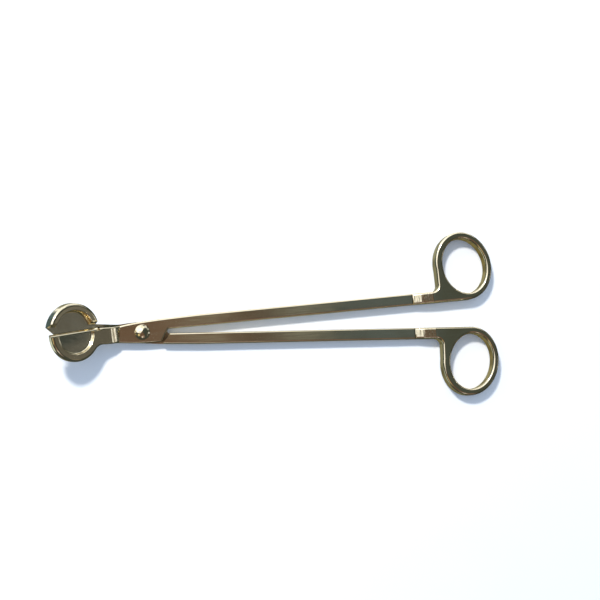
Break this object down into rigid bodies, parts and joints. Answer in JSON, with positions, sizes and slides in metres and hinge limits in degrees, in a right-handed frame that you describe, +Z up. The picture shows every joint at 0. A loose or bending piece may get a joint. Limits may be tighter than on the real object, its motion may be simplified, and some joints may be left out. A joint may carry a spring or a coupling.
{
  "type": "wick trimmer",
  "caption": "Scissor-type candle wick trimmer: crossed levers with oval finger loops and an angled, split cutting dish that catches the trimmed wick.",
  "frame": {"origin": "middle of the tool's plan box, on the surface it lies on", "axes": "+X from the cutting dish towards the finger loops, +Y towards the upper lever's arm, +Z up from the surface the tool lies on"},
  "size_m": [0.1814, 0.0674, 0.0203],
  "materials": {
    "polished_shank": "mirror polished, pale champagne gold plating",
    "polished_loop": "mirror polished, pale champagne gold plating",
    "polished_rim": "mirror polished, pale champagne gold plating",
    "satin_blade": "soft satin, pale champagne gold plating, with a polished cutting bevel",
    "polished_pivot": "mirror polished, pale champagne gold plating",
    "washer": "plain steel"
  },
  "bodies": {
    "lower_lever": {"lower_shank": "polished_shank", "lower_finger_loop": "polished_loop", "far_blade": "satin_blade", "far_tray_rim": "polished_rim", "pivot_sleeve_nut": "polished_pivot", "pivot_washer": "washer", "pivot_screw": "polished_pivot"},
    "upper_lever": {"upper_shank": "polished_shank", "upper_finger_loop": "polished_loop", "near_blade": "satin_blade", "near_tray_rim": "polished_rim"}
  },
  "joints": [
    {"name": "lever_pivot", "type": "hinge", "parent": "lower_lever", "child": "upper_lever", "pos_m": [-0.05368, 0, 0.0031], "axis": [0, 0, 1], "range_deg": [-4.4, 35]}
  ]
}
